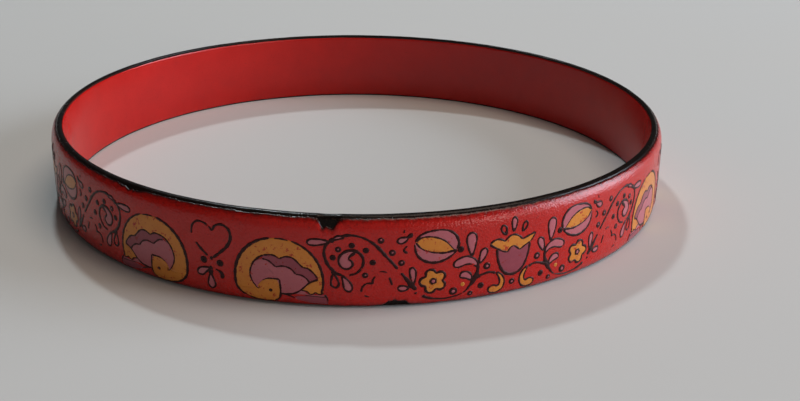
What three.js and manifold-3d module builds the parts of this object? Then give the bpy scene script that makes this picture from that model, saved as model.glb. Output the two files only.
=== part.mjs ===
// A rigid enamelled bangle: a closed metal band under a black ground coat, red enamel
// outside and inside, and fired colour transfers of folk ornament round the outside.
// Millimetres, +Z up. The origin is on the ring's axis, in the plane that it stands on,
// and -Y is the front. Angles run from the front towards +X.
import * as THREE from "three";
import { mergeVertices } from "three/addons/utils/BufferGeometryUtils.js";
import Module from "manifold-3d";

const wasm = await Module();
wasm.setup();

// Driving dimensions
const HEIGHT = 8.8; // width of the band along the arm
const BORE_RADIUS = 33; // clear inside radius: a 66 mm bangle
const SHOULDER = 0.6; // how far the outside falls away towards each rim
const FACETS = 96; // sides of every ring
const JOINT_GAP = 0.02; // air between coats that are fused on the real bangle
const TRANSFER_GAP = 0.03; // more under the transfers, whose facets fall anywhere

// Coats, from the arm outwards
const COUNTER_ENAMEL = 0.2;
const GROUND_COAT = 0.1;
const CORE_WALL = 0.65; // metal at mid height; it thins towards its rounded edges
const COVER_ENAMEL = 0.18;
const TRANSFER = 0.05; // one fired layer of colour
const RIM_COVER = 0.2; // ground coat over each edge of the metal
const RIM_ROUND = 0.22; // rounding of the rims
const RIM_INSET = 0.04; // the rims stand back from the bore by this much
const BARE_EDGE = 0.1; // ground coat left bare above the rim's rounding

// Where each coat starts
const GROUND_INNER = BORE_RADIUS + COUNTER_ENAMEL + JOINT_GAP;
const CORE_INNER = GROUND_INNER + GROUND_COAT + JOINT_GAP;
const CORE_OUTER = CORE_INNER + CORE_WALL;
const GROUND_OUTER = CORE_OUTER + JOINT_GAP;
const COVER_INNER = GROUND_OUTER + GROUND_COAT + JOINT_GAP;
const TRANSFER_INNER = COVER_INNER + COVER_ENAMEL + TRANSFER_GAP;

// The ornament, in degrees round the band and millimetres along it. The hearts divide it
// into full repeats and one short repeat, where the ends of the printed transfer meet.
const FIRST_HEART = -118.2;
const HEART_TO_TULIP = 47.5;
const FULL_REPEATS = 3;
const LAST_HEART = FIRST_HEART + FULL_REPEATS * 2 * HEART_TO_TULIP;
const SHORT_MIDDLE = (LAST_HEART + FIRST_HEART + 360) / 2;
const HEART_TO_BIRD = 11;
const TULIP_TO_FRUIT = 12.7;
const TULIP_TO_BLOSSOM = 13.3;
const LINE = 0.3; // width of a drawn line
const PLATE_REACH = 6; // how far a cutting prism runs past the coat on both sides

const finish = {
  metal: { color: 0x8f8a84, roughness: 0.45, metalness: 1 },
  solder: { color: 0xb8b2a6, roughness: 0.4, metalness: 1 },
  ground: { color: 0x1d1a18, roughness: 0.35, metalness: 0 },
  cover: { color: 0xa81812, roughness: 0.18, metalness: 0 },
  counter: { color: 0xb3201f, roughness: 0.25, metalness: 0 },
  ochre: { color: 0xc07f35, roughness: 0.25, metalness: 0 },
  mauve: { color: 0xa9697f, roughness: 0.25, metalness: 0 },
  plum: { color: 0x86495f, roughness: 0.25, metalness: 0 },
  line: { color: 0x24110f, roughness: 0.3, metalness: 0 },
};

const bangle = new THREE.Group();

function add(parent, name, geometry, look) {
  const mesh = new THREE.Mesh(geometry, new THREE.MeshStandardMaterial(look));
  mesh.name = name;
  parent.add(mesh);
}

// ---- rings: a closed section of [radius, height] points turned about +Z ----

// The outside falls away by a seventh-power curve: flat in the middle, round at the rims.
// Every coat turns at the same heights, so the coats lie evenly one on another.
const levels = [0, 0.04, 0.1, 0.2, 0.8, 0.9, 0.96, 1].map((share) => ({
  z: share * HEIGHT,
  fall: SHOULDER * Math.abs(2 * share - 1) ** 7,
}));

function fall(z) {
  const above = Math.max(1, levels.findIndex((level) => level.z >= z));
  const [low, high] = [levels[above - 1], levels[above]];
  return THREE.MathUtils.mapLinear(z, low.z, high.z, low.fall, high.fall);
}

// The wall line whose radius is given at mid height, from z0 up to z1.
function domedWall(radius, z0, z1) {
  const between = levels.map((level) => level.z).filter((z) => z > z0 && z < z1);
  return [z0, ...between, z1].map((z) => [radius - fall(z), z]);
}

function ring(section) {
  const profile = [...section, section[0]].map(([r, z]) => new THREE.Vector2(r, z));
  return new THREE.LatheGeometry(profile, FACETS).rotateX(Math.PI / 2);
}

// A band between two domed walls.
function domedBand(inner, outer, z0, z1) {
  return ring([...domedWall(outer, z0, z1), ...domedWall(inner, z0, z1).reverse()]);
}

// A band between two straight walls.
function straightBand(inner, outer, z0, z1) {
  return ring([[outer, z0], [outer, z1], [inner, z1], [inner, z0]]);
}

// ---- solids from manifold-3d ----

const SAME_POINT = 1e-4; // vertices closer than this are one

function solidOf(geometry) {
  const bare = geometry.index ? geometry.toNonIndexed() : geometry.clone();
  bare.deleteAttribute("normal");
  bare.deleteAttribute("uv");
  const merged = mergeVertices(bare, SAME_POINT);
  return new wasm.Manifold(
    new wasm.Mesh({
      numProp: 3,
      vertProperties: new Float32Array(merged.attributes.position.array),
      triVerts: new Uint32Array(merged.index.array),
    }),
  );
}

function geometryOf(solid) {
  const mesh = solid.getMesh();
  const made = new THREE.BufferGeometry();
  made.setAttribute("position", new THREE.BufferAttribute(mesh.vertProperties, 3));
  made.setIndex(new THREE.BufferAttribute(mesh.triVerts, 1));
  return made;
}

// ---- the metal band: a strip bent round and soldered end to end under the short repeat ----

const CORE_LOW = RIM_COVER + JOINT_GAP;
const CORE_HIGH = HEIGHT - CORE_LOW;
const SEAM_WIDTH = 0.5;
const SEAM_REACH = 4; // how deep the cutting block goes, well through the metal

const metalRing = solidOf(
  ring([...domedWall(CORE_OUTER, CORE_LOW, CORE_HIGH), [CORE_INNER, CORE_HIGH], [CORE_INNER, CORE_LOW]]),
);

function seamBlock(width) {
  const block = new THREE.BoxGeometry(width, SEAM_REACH, HEIGHT);
  block.translate(0, -CORE_OUTER, HEIGHT / 2);
  return solidOf(block.rotateZ(THREE.MathUtils.degToRad(SHORT_MIDDLE)));
}

add(bangle, "metal_band", geometryOf(metalRing.subtract(seamBlock(SEAM_WIDTH))), finish.metal);
add(bangle, "solder_seam", geometryOf(metalRing.intersect(seamBlock(SEAM_WIDTH - 2 * JOINT_GAP))), finish.solder);

// ---- the black ground coat: a skin over the outside that wraps both rims, and one inside ----

// The outer coat's section round one rim, from inside the ring to the outside wall.
// turn puts a height on the bottom or the top rim.
function rimLine(turn) {
  const inside = BORE_RADIUS + RIM_INSET;
  const outside = GROUND_OUTER + GROUND_COAT - fall(RIM_ROUND);
  return [
    [inside, turn(RIM_COVER)],
    [inside, turn(RIM_ROUND / 2)],
    [inside + RIM_ROUND / 2, turn(0)],
    [outside - RIM_ROUND, turn(0)],
  ];
}

const up = (z) => z;
const down = (z) => HEIGHT - z;
const outerGroundCoat = ring([
  ...rimLine(up),
  ...domedWall(GROUND_OUTER + GROUND_COAT, RIM_ROUND, HEIGHT - RIM_ROUND),
  ...rimLine(down).reverse(),
  ...domedWall(GROUND_OUTER, RIM_COVER, HEIGHT - RIM_COVER).reverse(),
]);
add(bangle, "ground_coat_outer", outerGroundCoat, finish.ground);

add(
  bangle,
  "ground_coat_inner",
  straightBand(GROUND_INNER, GROUND_INNER + GROUND_COAT, CORE_LOW, CORE_HIGH),
  finish.ground,
);

// ---- the red coats ----

const COVER_LOW = RIM_ROUND + BARE_EDGE;
const COVER_HIGH = HEIGHT - COVER_LOW;
const coverEnamel = domedBand(COVER_INNER, COVER_INNER + COVER_ENAMEL, COVER_LOW, COVER_HIGH);
add(bangle, "cover_enamel", coverEnamel, finish.cover);
add(
  bangle,
  "counter_enamel",
  straightBand(BORE_RADIUS, BORE_RADIUS + COUNTER_ENAMEL, CORE_LOW, CORE_HIGH),
  finish.counter,
);

// ---- the transfers: each is its drawn outline cut out of a thin coat over the enamel ----

const transferCoat = solidOf(domedBand(TRANSFER_INNER, TRANSFER_INNER + TRANSFER, 0, HEIGHT));

const anticlockwise = (points) => (THREE.ShapeUtils.isClockWise(points) ? points.reverse() : points);

// The outline stands at the front, is pushed through the coat, and keeps what they share.
function transfer(outline, holes = []) {
  const shape = new THREE.Shape(anticlockwise(outline));
  shape.holes = holes.map((hole) => new THREE.Path(hole));
  const prism = new THREE.ExtrudeGeometry(shape, { depth: 2 * PLATE_REACH, bevelEnabled: false });
  prism.rotateX(Math.PI / 2).translate(0, PLATE_REACH - TRANSFER_INNER, 0);
  return geometryOf(transferCoat.intersect(solidOf(prism)));
}

const CURVE_STEPS = 2; // points per drawn point on a smooth outline
const mirrored = (points) => points.map(([x, z]) => [-x, z]);
const corners = (points) => points.map(([x, z]) => new THREE.Vector2(x, z));
const smooth = (points) =>
  new THREE.CatmullRomCurve3(points.map(([x, z]) => new THREE.Vector3(x, z, 0)), true, "centripetal")
    .getPoints(points.length * CURVE_STEPS)
    .slice(0, -1)
    .map((p) => new THREE.Vector2(p.x, p.y));

// Points on a circle's arc, from one angle to another in degrees.
function arc(x, z, radius, from, to, steps) {
  return Array.from({ length: steps + 1 }, (_, i) => {
    const angle = THREE.MathUtils.degToRad(from + ((to - from) * i) / steps);
    return [x + radius * Math.cos(angle), z + radius * Math.sin(angle)];
  });
}

// A blossom: five round petals, its radius swinging five times round the middle.
function blossom(radius, middle, steps) {
  return Array.from({ length: steps }, (_, i) => {
    const t = (2 * Math.PI * i) / steps;
    const reach = radius * (0.86 + 0.14 * Math.cos(5 * t));
    return [reach * Math.sin(t), middle + reach * Math.cos(t)];
  });
}

// A heart, and the opening that leaves only its drawn line.
const HEART_MIDDLE = 5.6;
const HEART_HALF_WIDTH = 2;
const heartSide = [[0.45, 6.95], [1.1, 7.25], [1.75, 6.9], [HEART_HALF_WIDTH, 6], [1.6, 5.2], [0.85, 4.4]];
const heart = [[0, 6.5], ...heartSide, [0, 3.75], ...mirrored(heartSide).reverse()];
const openShare = 1 - LINE / HEART_HALF_WIDTH;
const heartOpening = heart.map(([x, z]) => [x * openShare, HEART_MIDDLE + (z - HEART_MIDDLE) * openShare]);

// A curled bird: its ring of a back, the tucked head at the bottom, and the tail at the right.
const BIRD_RADIUS = 4.1;
const BIRD_MIDDLE = 2.55;
const birdBack = arc(0, BIRD_MIDDLE, BIRD_RADIUS, -16, 180, 16);
const birdHead = [[-3.7, 1.4], [-3, 0.8], [-2, 0.4], [-0.8, 0.35], [-0.1, 0.7], [0.1, 1.4], [0, 2.6]];
const birdBrow = [[-0.8, 2.55], [-1.5, 2.2], [-2, 1.6]];
const birdInside = [[-2.5, 2.1], [-2.6, 3], [-2.3, 4], [-1.6, 4.6], [-0.7, 4.9], [0.2, 4.7], [1, 4.9], [1.8, 4.5]];
const birdTail = [[2.3, 3.9], [3, 3.5], [3.4, 2.9], [2.8, 2.4], [2.2, 1.8], [2.7, 1.4], [3.3, 1.25]];
const birdBody = [...birdBack, ...birdHead, ...birdBrow, ...birdInside, ...birdTail];
const birdWing = [
  [-2.2, 2.1], [-2.4, 3], [-2.1, 3.9], [-1.5, 4.4], [-0.7, 4.7], [0.2, 4.5], [1, 4.7], [1.6, 4.3],
  [2.1, 3.7], [2.8, 3.3], [3.1, 2.9], [2.5, 2.2], [1.6, 1.5], [0.4, 1.3], [0.3, 2.8], [-0.9, 2.8], [-1.7, 2.4],
];

// A tulip: a cup with a toothed rim, and the crown of petals standing in it.
const tulipRim = [[-1.7, 4.85], [-0.65, 4.35], [0, 4.85], [0.65, 4.35], [1.7, 4.85]];
const tulipSides = [[1.5, 3.8], [1.15, 2.9], [0.7, 2.3], [0, 2.05], [-0.7, 2.3], [-1.15, 2.9], [-1.5, 3.8]];
const tulipCrown = [
  [-1.7, 4.95], [-2.4, 5.5], [-1.5, 5.85], [-0.9, 5.5], [0, 6], [0.9, 5.45], [2.2, 5.8], [1.7, 4.95],
  [0.65, 4.45], [0, 4.95], [-0.65, 4.45],
];

// A split fruit: two rounded halves with the pointed seed lying open between them.
const FRUIT_MIDDLE = 5.9;
const BED_LONGER = 1.06; // the opening that the seed lies in, against the seed
const BED_DEEPER = 1.2;
const fruitSkin = [
  [-2.2, 6.3], [-1.6, 7], [-0.2, 7.3], [1.2, 7], [1.95, 6.2], [1.95, 5.3], [1.3, 4.75], [0, 4.4], [-1.2, 4.8],
  [-2, 5.5],
];
const fruitSeed = [[-1.75, 6.25], [-0.7, 6.6], [0.3, 6.4], [1.45, 5.5], [0.4, 5.35], [-0.8, 5.6]];

// Each motif's plate is made once, and once more mirrored where the ornament turns it round.
const plates = {
  heart: transfer(smooth(heart), [smooth(heartOpening)]),
  tulipCup: transfer(corners([...tulipRim, ...tulipSides])),
  tulipCrown: transfer(corners(tulipCrown)),
};
for (const [way, turned] of [["plain", (points) => points], ["turned", mirrored]]) {
  const seedBed = fruitSeed.map(([x, z]) => [x * BED_LONGER, FRUIT_MIDDLE + (z - FRUIT_MIDDLE) * BED_DEEPER]);
  plates[way] = {
    birdBody: transfer(corners(turned(birdBody))),
    birdWing: transfer(smooth(turned(birdWing))),
    fruitSkin: transfer(smooth(turned(fruitSkin)), [smooth(turned(seedBed))]),
    fruitSeed: transfer(smooth(turned(fruitSeed))),
    blossom: transfer(corners(turned(blossom(1.1, 2.5, 30)))),
  };
}

// A group turned about the ring's axis, so that what is drawn at the front stands at an angle.
function turnedGroup(degrees) {
  const group = new THREE.Group();
  group.rotation.z = THREE.MathUtils.degToRad(degrees);
  bangle.add(group);
  return group;
}

const SIDES = [["left", -1, plates.turned], ["right", 1, plates.plain]];

function addHeart(number, angle) {
  add(turnedGroup(angle), `heart_${number}`, plates.heart, finish.line);
  for (const [side, sign, plate] of SIDES) {
    const place = turnedGroup(angle + sign * HEART_TO_BIRD);
    add(place, `bird_body_${number}_${side}`, plate.birdBody, finish.ochre);
    add(place, `bird_wing_${number}_${side}`, plate.birdWing, finish.mauve);
  }
}

function addTulip(number, angle) {
  const place = turnedGroup(angle);
  add(place, `tulip_cup_${number}`, plates.tulipCup, finish.plum);
  add(place, `tulip_crown_${number}`, plates.tulipCrown, finish.ochre);
}

// Fruit and blossom on both sides of a tulip. Their outlines are drawn for its left side.
function addFruit(number, angle) {
  for (const [side, sign] of SIDES) {
    const drawn = sign < 0 ? plates.plain : plates.turned;
    const fruit = turnedGroup(angle + sign * TULIP_TO_FRUIT);
    add(fruit, `fruit_skin_${number}_${side}`, drawn.fruitSkin, finish.mauve);
    add(fruit, `fruit_seed_${number}_${side}`, drawn.fruitSeed, finish.ochre);
    const flower = turnedGroup(angle + sign * TULIP_TO_BLOSSOM);
    add(flower, `blossom_${number}_${side}`, drawn.blossom, finish.ochre);
  }
}

// The short repeat has a heart and a tulip like the others, but no fruit.
for (let i = 0; i < FULL_REPEATS; i++) {
  const heartAngle = FIRST_HEART + i * 2 * HEART_TO_TULIP;
  addHeart(i + 1, heartAngle);
  addTulip(i + 1, heartAngle + HEART_TO_TULIP);
  addFruit(i + 1, heartAngle + HEART_TO_TULIP);
}
addHeart(FULL_REPEATS + 1, LAST_HEART);
addTulip(FULL_REPEATS + 1, SHORT_MIDDLE);

export default bangle;
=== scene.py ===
"""A rigid bangle in glass enamel: black and red coats fired onto a metal band, and folk ornament
fired onto the red in three colours and a black line.

Metres, +Z up, in the frame of the CAD model. Angles run round the band from the front (-Y)
towards +X. The ornament is drawn flat in millimetres, u along the band and v up it, and
is then wrapped round the band."""
import math

import bpy
import numpy as np
from mathutils import Matrix, Vector


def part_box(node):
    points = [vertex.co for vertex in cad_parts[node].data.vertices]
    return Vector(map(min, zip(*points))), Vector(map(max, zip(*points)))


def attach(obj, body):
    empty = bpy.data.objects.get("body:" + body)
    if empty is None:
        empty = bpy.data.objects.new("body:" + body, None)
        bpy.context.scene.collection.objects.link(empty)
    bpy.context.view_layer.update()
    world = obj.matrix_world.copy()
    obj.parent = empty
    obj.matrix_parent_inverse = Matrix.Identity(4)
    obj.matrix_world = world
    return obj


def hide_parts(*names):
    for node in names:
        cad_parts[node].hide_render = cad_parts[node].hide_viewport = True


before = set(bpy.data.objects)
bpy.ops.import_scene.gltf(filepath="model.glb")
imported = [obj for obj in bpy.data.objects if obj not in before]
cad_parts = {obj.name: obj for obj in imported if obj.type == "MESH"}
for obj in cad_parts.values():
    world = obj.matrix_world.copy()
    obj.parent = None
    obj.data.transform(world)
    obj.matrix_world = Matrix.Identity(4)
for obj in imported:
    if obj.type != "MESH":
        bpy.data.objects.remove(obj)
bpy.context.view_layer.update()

# ---- Camera: it stands close in front of the bangle and looks a little down on it. It aims past the
# ring's middle, which leaves more room below and to the right.
CAMERA_DISTANCE = 0.1328
CAMERA_ELEVATION = math.radians(20.63)
TURN, TILT, ROLL = math.radians(-2.08), math.radians(-1.31), math.radians(-0.22)
FOCAL_LENGTH = 50.4  # on a sensor 36 mm wide

spot = CAMERA_DISTANCE * Vector((0, -math.cos(CAMERA_ELEVATION), math.sin(CAMERA_ELEVATION)))
forward = -spot.normalized()
right = forward.cross(Vector((0, 0, 1))).normalized()
up = right.cross(forward)
forward, right = (Matrix.Rotation(TURN, 3, up) @ v for v in (forward, right))
forward, up = (Matrix.Rotation(TILT, 3, right) @ v for v in (forward, up))
right, up = (Matrix.Rotation(ROLL, 3, forward) @ v for v in (right, up))

camera = bpy.data.objects.new("camera", bpy.data.cameras.new("camera"))
camera.data.lens = FOCAL_LENGTH
camera.data.clip_start = 0.005
camera.matrix_world = Matrix.Translation(spot) @ Matrix((right, up, -forward)).transposed().to_4x4()
bpy.context.collection.objects.link(camera)
bpy.context.scene.camera = camera

# ---- Floor and light: a pale matt floor. A cool window stands low on the right, and a small lamp high
# behind throws the sharper shadow forwards. A warm ceiling, a low panel in front on the right and
# the pale room behind the viewer fill the rest.
FLOOR_SIZE = 3.0
FLOOR_TONES = ("c8cac9", "c9c9c6")
ROOM_LIGHT = 0.04


def linear(colour):
    """An sRGB colour as six hex digits, in linear light: ((c + 0.055) / 1.055) ** 2.4."""
    shares = [int(colour[i:i + 2], 16) / 255 for i in (0, 2, 4)]
    return (*(s / 12.92 if s <= 0.04045 else ((s + 0.055) / 1.055) ** 2.4 for s in shares), 1.0)


def add_node(tree, kind, inputs=None, **settings):
    """Adds a node, sets its properties, and gives its inputs values or links to other sockets."""
    node = tree.nodes.new("ShaderNode" + kind)
    for name, value in settings.items():
        setattr(node, name, value)
    for name, value in (inputs or {}).items():
        if isinstance(value, bpy.types.NodeSocket):
            tree.links.new(value, node.inputs[name])
        else:
            node.inputs[name].default_value = value
    return node


def new_material(name):
    """An empty node material, and its node tree."""
    material = bpy.data.materials.new(name)
    material.use_nodes = True
    material.node_tree.nodes.clear()
    return material, material.node_tree


def finish_material(tree, shader):
    """Joins a shader to the material's output."""
    add_node(tree, "OutputMaterial", {"Surface": shader.outputs[0]})


paper, tree = new_material("pale matt paper")
place = add_node(tree, "TexCoord").outputs["Object"]
mottle = add_node(tree, "TexNoise", {"Vector": place, "Scale": 14.0, "Detail": 3.0})  # 70 mm across
cool, warm = map(linear, FLOOR_TONES)
tone = add_node(tree, "Mix", {0: mottle.outputs["Fac"], 6: cool, 7: warm}, data_type="RGBA")
finish_material(tree, add_node(tree, "BsdfPrincipled", {"Base Color": tone.outputs[2], "Roughness": 0.75}))

half = FLOOR_SIZE / 2
floor_mesh = bpy.data.meshes.new("floor")
floor_corners = [(-half, -half, 0), (half, -half, 0), (half, half, 0), (-half, half, 0)]
floor_mesh.from_pydata(floor_corners, [], [(0, 1, 2, 3)])
floor_mesh.materials.append(paper)
floor = bpy.data.objects.new("floor", floor_mesh)
bpy.context.collection.objects.link(floor)


def soft_light(name, place, size, power, colour):
    """A rectangular soft light at a place, aimed at the bangle."""
    light = bpy.data.lights.new(name, "AREA")
    light.shape = "RECTANGLE"
    light.size, light.size_y = size
    light.energy = power
    light.color = linear(colour)[:3]
    lamp = bpy.data.objects.new(name, light)
    lamp.location = place
    lamp.rotation_euler = (-Vector(place)).to_track_quat("-Z", "Y").to_euler()
    bpy.context.collection.objects.link(lamp)


soft_light("window", place=(0.86, 0.0, 0.26), size=(0.62, 0.52), power=9.3, colour="e4efff")
soft_light("lamp behind", place=(-0.14, 0.563, 0.689), size=(0.06, 0.06), power=2.35, colour="ecfaff")
soft_light("ceiling", place=(0.278, 0.0, 0.856), size=(0.55, 0.55), power=2.95, colour="ffe9d8")
soft_light("low panel", place=(0.662, -0.596, 0.125), size=(0.35, 0.16), power=1.35, colour="ffebe5")
soft_light("room", place=(-0.05, -1.2, 0.5), size=(3.0, 0.76), power=1.5, colour="f4eee6")

world = bpy.data.worlds.new("room")
world.use_nodes = True
world.node_tree.nodes["Background"].inputs["Color"].default_value = linear("d8dade")
world.node_tree.nodes["Background"].inputs["Strength"].default_value = ROOM_LIGHT
bpy.context.scene.world = world
bpy.context.scene.view_settings.view_transform = "Standard"

# ---- The metal: a strip of sheet bent round and soldered end to end. Enamel covers all of it, so both
# pieces stay as the CAD nodes and only get their finish: scaled, slightly oxidised sheet.
MM = 0.001


def metal(name, light, dark, grain_mm, roughness):
    """Oxidised metal: two tones of a streaky noise whose grain runs round the band. The lighter a
    streak is, the rougher, by up to 0.2."""
    material, tree = new_material(name)
    place = add_node(tree, "TexCoord").outputs["Object"]
    stretch = add_node(tree, "Mapping", {"Vector": place, "Scale": (1.0, 1.0, 6.0)})
    streaks = add_node(tree, "TexNoise", {
        "Vector": stretch.outputs[0], "Scale": 1 / (grain_mm * MM), "Detail": 4.0})
    tone = add_node(tree, "Mix", {0: streaks.outputs["Fac"], 6: linear(dark), 7: linear(light)},
                    data_type="RGBA")
    rough = add_node(tree, "MapRange", {
        "Value": streaks.outputs["Fac"], "To Min": roughness, "To Max": roughness + 0.2})
    bump = add_node(tree, "Bump", {"Height": streaks.outputs["Fac"], "Distance": 0.02 * MM, "Strength": 0.5})
    finish_material(tree, add_node(tree, "BsdfPrincipled", {
        "Base Color": tone.outputs[2], "Metallic": 1.0, "Roughness": rough.outputs[0],
        "Normal": bump.outputs[0]}))
    return material


def give_material(object_name, material):
    """Puts a material in every slot of a node that stays as the CAD made it."""
    target = bpy.data.objects[object_name]
    target.data.materials.clear()
    target.data.materials.append(material)


give_material("metal_band", metal(
    "drawn sheet steel, scaled by the kiln", "8f8a84", "57504a", grain_mm=0.4, roughness=0.4))
give_material("solder_seam", metal(
    "hard silver solder, filed flush", "c9c3b6", "8d8779", grain_mm=0.25, roughness=0.3))

# ---- The black ground coat: the first glass fired onto the metal. It goes over the outside and wraps
# both rims, where it stays bare, a little uneven and nicked, with rounded edges.
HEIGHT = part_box("ground_coat_outer")[1][2] / MM
WALL_RADIUS = 34.11  # outside of the ground coat at mid height
SHOULDER_LOW, SHOULDER_HIGH = 0.28, 0.6  # how far the outside falls away towards each rim
RIM_INSIDE = 33.05  # radius of a rim's inside face
RIM_DEEP = 0.6  # how far the coat follows the inside face from a rim
OUTER_ROUND, INNER_ROUND = 0.16, 0.12  # rounding of a rim's two edges
GROUND_COAT = 0.1  # its thickness
RIM_UNEVEN = (0.02, 0.015, 0.008)  # shares of the three sines in the upper rim's unevenness
RIM_DIP = 0.012  # mean depth of that unevenness
KNOCK_DOWN = 0.4  # share of a knock's depth by which the rim is lower there
AROUND = 1440  # steps round the band
ANGLES = (np.arange(AROUND) * 2 * np.pi / AROUND)[:, None]


def waves(angle, z):
    """Slow unevenness of the glass in mm: four sines round the band that drift with height."""
    return 0.006 * (np.sin(5 * angle + 0.3 * z) + np.sin(11 * angle - 0.5 * z + 1.0)
                    + 0.8 * np.sin(23 * angle + 0.9 * z + 2.0) + 0.6 * np.sin(47 * angle - 1.3 * z + 4.0))


def ground_radius(angle, z):
    """Outside of the ground coat: it falls away towards the rims by a seventh-power curve, ends in
    a quarter circle at each, and has the glass's slow waves on it."""
    fall = np.where(z < HEIGHT / 2, SHOULDER_LOW, SHOULDER_HIGH) * np.abs(2 * z / HEIGHT - 1) ** 7
    into_edge = np.clip(np.maximum(OUTER_ROUND - z, z - HEIGHT + OUTER_ROUND) / OUTER_ROUND, 0, 1)
    return WALL_RADIUS - fall - OUTER_ROUND * (1 - np.sqrt(1 - into_edge ** 2)) + waves(angle, z)


# Where coats were knocked off: middle angle in degrees, height in mm, half sizes in degrees and mm,
# and how deep the knock goes in mm.
KNOCKS = [
    (-4.6, 8.65, 1.7, 0.85, 0.08),
    (5.7, 0.12, 2.4, 0.55, 0.06),
    (-39.0, 8.65, 2.8, 0.22, 0.02),
    (121.0, 0.12, 2.0, 0.40, 0.05),
    (158.0, 0.12, 2.6, 0.45, 0.06),
    (-148.0, 0.12, 2.4, 0.40, 0.05),
]


def knocked(angle, z):
    """Depth of the knocks in mm: each is a flat-bottomed bowl, 1 - d ** 4 inside its ellipse."""
    depth = np.zeros(np.broadcast(angle, z).shape)
    for middle, height, half_angle, half_height, deep in KNOCKS:
        along = (np.degrees(angle) - middle + 180) % 360 - 180
        distance = (along / half_angle) ** 2 + ((z - height) / half_height) ** 2
        depth += deep * np.clip(1 - distance ** 2, 0, 1)
    return depth


def make_piece(name, points, faces, material, slot, replaces=()):
    """Puts points (n, 3) in metres and arrays of faces, each with one number of sides, into a closed
    smooth mesh that faces outwards: where its signed volume is negative, all faces are turned."""
    fans = [face[:, [0, k, k + 1]] for face in faces for k in range(1, face.shape[1] - 1)]
    triangles = np.concatenate(fans)
    a, b, c = (points[triangles[:, k]] for k in range(3))
    if np.einsum("ij,ij->", a, np.cross(b, c)) < 0:
        faces = [face[:, ::-1] for face in faces]
    sizes = np.concatenate([np.full(len(face), face.shape[1]) for face in faces])
    mesh = bpy.data.meshes.new(name)
    mesh.vertices.add(len(points))
    mesh.vertices.foreach_set("co", points.astype(np.float32).ravel())
    mesh.loops.add(int(sizes.sum()))
    corners = np.concatenate([face.ravel() for face in faces])
    mesh.loops.foreach_set("vertex_index", corners.astype(np.int32))
    mesh.polygons.add(len(sizes))
    mesh.polygons.foreach_set("loop_start", (np.cumsum(sizes) - sizes).astype(np.int32))
    mesh.polygons.foreach_set("loop_total", sizes.astype(np.int32))
    mesh.polygons.foreach_set("use_smooth", np.ones(len(sizes), bool))
    mesh.update(calc_edges=True)
    mesh.validate()
    mesh.materials.append(material)
    piece = bpy.data.objects.new(name, mesh)
    bpy.context.collection.objects.link(piece)
    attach(piece, "root")
    if replaces:
        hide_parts(*replaces)
    return piece


def wrapped_quads(rows, columns, wrap_rows=True):
    """The quads of a grid of points, row by row. Every row closes on itself, and the last row joins
    the first where the rows wrap."""
    i = np.arange(rows if wrap_rows else rows - 1)[:, None]
    j = np.arange(columns)[None, :]
    i2, j2 = (i + 1) % rows, (j + 1) % columns
    quads = [i * columns + j, i2 * columns + j, i2 * columns + j2, i * columns + j2]
    return np.stack(quads, -1).reshape(-1, 4)


def ring_points(angle, radius, z):
    """Points at an angle, radius and height: (r sin a, -r cos a, z), in metres."""
    x, y = radius * np.sin(angle), -radius * np.cos(angle)
    return np.stack(np.broadcast_arrays(x, y, z), -1).reshape(-1, 3) * MM


def ring_piece(name, radius, z, material, slot, replaces):
    """A ring from the radius and height of its section at every angle, both (angles, section)."""
    points = ring_points(ANGLES, radius, z)
    return make_piece(name, points, [wrapped_quads(*radius.shape)], material, slot, replaces)


def eased(count):
    """Shares from 0 to 1 that crowd towards both ends: (1 - cos(pi t)) / 2."""
    return (1 - np.cos(np.pi * np.linspace(0, 1, count))) / 2


def arc_points(centre, radius, start, end, count):
    """Points (r, z) on a circle's arc between two angles in degrees."""
    t = np.radians(np.linspace(start, end, count))
    return np.stack([centre[0] + radius * np.cos(t), centre[1] + radius * np.sin(t)], -1)


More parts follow.
